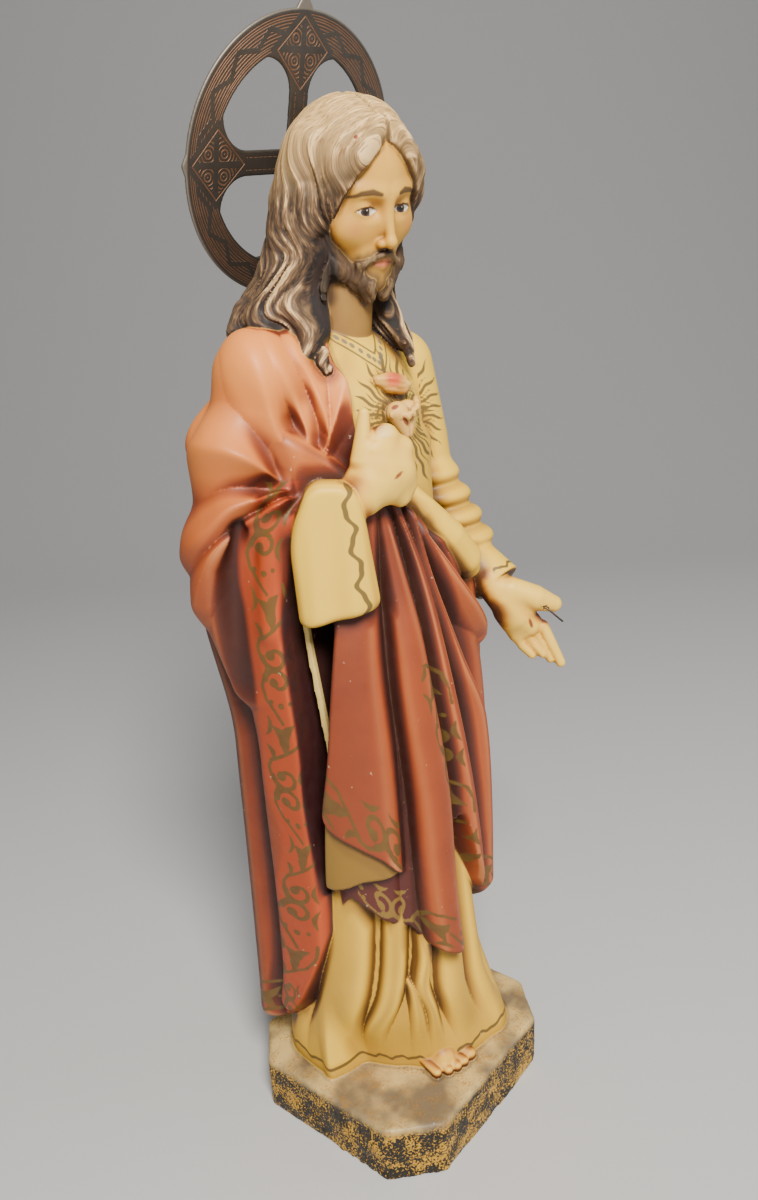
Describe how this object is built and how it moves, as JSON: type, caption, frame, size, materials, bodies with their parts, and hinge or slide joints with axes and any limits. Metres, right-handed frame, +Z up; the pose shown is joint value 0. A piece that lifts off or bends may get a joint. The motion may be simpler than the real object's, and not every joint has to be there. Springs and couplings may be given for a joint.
{
  "type": "sacred heart statue",
  "caption": "Painted devotional figure in tunic and mantle on a chamfered base, right hand at the heart, left hand held out, with a pierced metal halo.",
  "frame": {"origin": "centre of the base's underside", "axes": "+Z up along the figure, -Y to the figure's front, +X to the figure's left"},
  "size_m": [0.1527, 0.1211, 0.4935],
  "materials": {
    "painted_cast": "hand-painted cast plaster, satin: terracotta mantle shaded to burgundy with olive-gold scrolls, cream tunic, grey-brown hair, dark base stippled with gold",
    "halo_metal": "dark patina with worn coppery ridges",
    "wire": "dull, tarnished"
  },
  "bodies": {
    "root": {"figure": "painted_cast", "halo": "halo_metal", "thumb_wire": "wire"}
  },
  "joints": []
}
